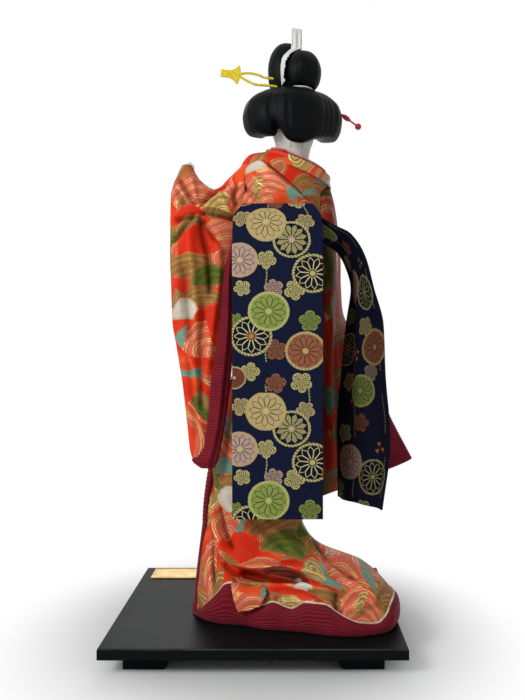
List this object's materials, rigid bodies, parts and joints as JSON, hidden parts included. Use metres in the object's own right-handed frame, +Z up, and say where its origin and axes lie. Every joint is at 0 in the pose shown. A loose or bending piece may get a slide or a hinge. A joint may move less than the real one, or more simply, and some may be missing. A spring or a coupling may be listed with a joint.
{
  "type": "japanese doll",
  "caption": "Standing doll in a trailing kimono with long hanging sash tails and a raised sleeve, on a low footed lacquer board.",
  "frame": {"origin": "middle of the footprint of the doll and its stand, at the bottom of the feet", "axes": "+Z up, the doll faces -Y, its raised left arm is on +X and the train trails to -X and +Y"},
  "size_m": [0.236, 0.182, 0.4752],
  "materials": {
    "black_lacquer": "gloss urushi lacquer",
    "gilt": "satin gilt",
    "steel": "bright zinc",
    "bare_wood": "bare softwood",
    "straw": "tightly wound straw",
    "cotton": "matte wadding",
    "gofun_white": "satin polished shell white",
    "black_hair": "combed and waxed silk",
    "white_paper": "folded paper",
    "yellow_pin": "satin",
    "red_pin": "gloss",
    "red_piping": "silk cord",
    "grey_silk": "matte",
    "red_brocade": "figured brocade with gold thread",
    "maroon_crepe": "ribbed crepe",
    "navy_brocade": "figured brocade with gold thread",
    "peach_silk": "crepe silk",
    "cream_cord": "braided silk"
  },
  "bodies": {
    "figure": {"base_plate": "black_lacquer", "base_screw": "steel", "foot_front_left": "black_lacquer", "foot_front_right": "black_lacquer", "foot_back_left": "black_lacquer", "foot_back_right": "black_lacquer", "nameplate": "gilt", "support_post": "bare_wood", "leg_form": "cotton", "body_core": "straw", "left_arm_core": "cotton", "right_arm_core": "cotton", "left_hand": "gofun_white", "right_hand": "gofun_white", "kimono_bodice": "red_brocade", "kimono_collar": "red_brocade", "under_collar": "grey_silk", "collar_piping": "red_piping", "obi_wrap": "navy_brocade", "obi_age": "peach_silk", "obi_cord": "cream_cord", "obi_tail_centre": "navy_brocade", "obi_tail_right": "navy_brocade", "obi_pad": "peach_silk", "left_sleeve": "red_brocade", "left_sleeve_lining": "maroon_crepe", "right_sleeve": "red_brocade", "right_sleeve_lining": "maroon_crepe", "robe_skirt": "red_brocade", "front_panel": "red_brocade", "hem_roll": "maroon_crepe", "edge_roll": "maroon_crepe", "hem_flap": "red_brocade"},
    "head": {"head": "gofun_white", "neck_peg": "bare_wood", "hair_back": "black_hair", "hair_left_wing": "black_hair", "hair_right_wing": "black_hair", "hair_front": "black_hair", "bun_right_lobe": "black_hair", "bun_left_lobe": "black_hair", "hair_tie": "white_paper", "paper_ribbon": "white_paper"},
    "yellow_pin": {"yellow_hairpin": "yellow_pin"},
    "red_pin": {"red_hairpin": "red_pin"}
  },
  "joints": [
    {"name": "head_turn", "type": "hinge", "parent": "figure", "child": "head", "pos_m": [-0.015, 0, 0.355], "axis": [0, 0, 1], "range_deg": [-15, 15]},
    {"name": "yellow_pin_pull", "type": "slide", "parent": "head", "child": "yellow_pin", "axis": [0.9945, 0, 0.1045], "range_m": [0, 0.017]},
    {"name": "red_pin_pull", "type": "slide", "parent": "head", "child": "red_pin", "axis": [-0.809, 0, -0.5878], "range_m": [0, 0.021]}
  ]
}
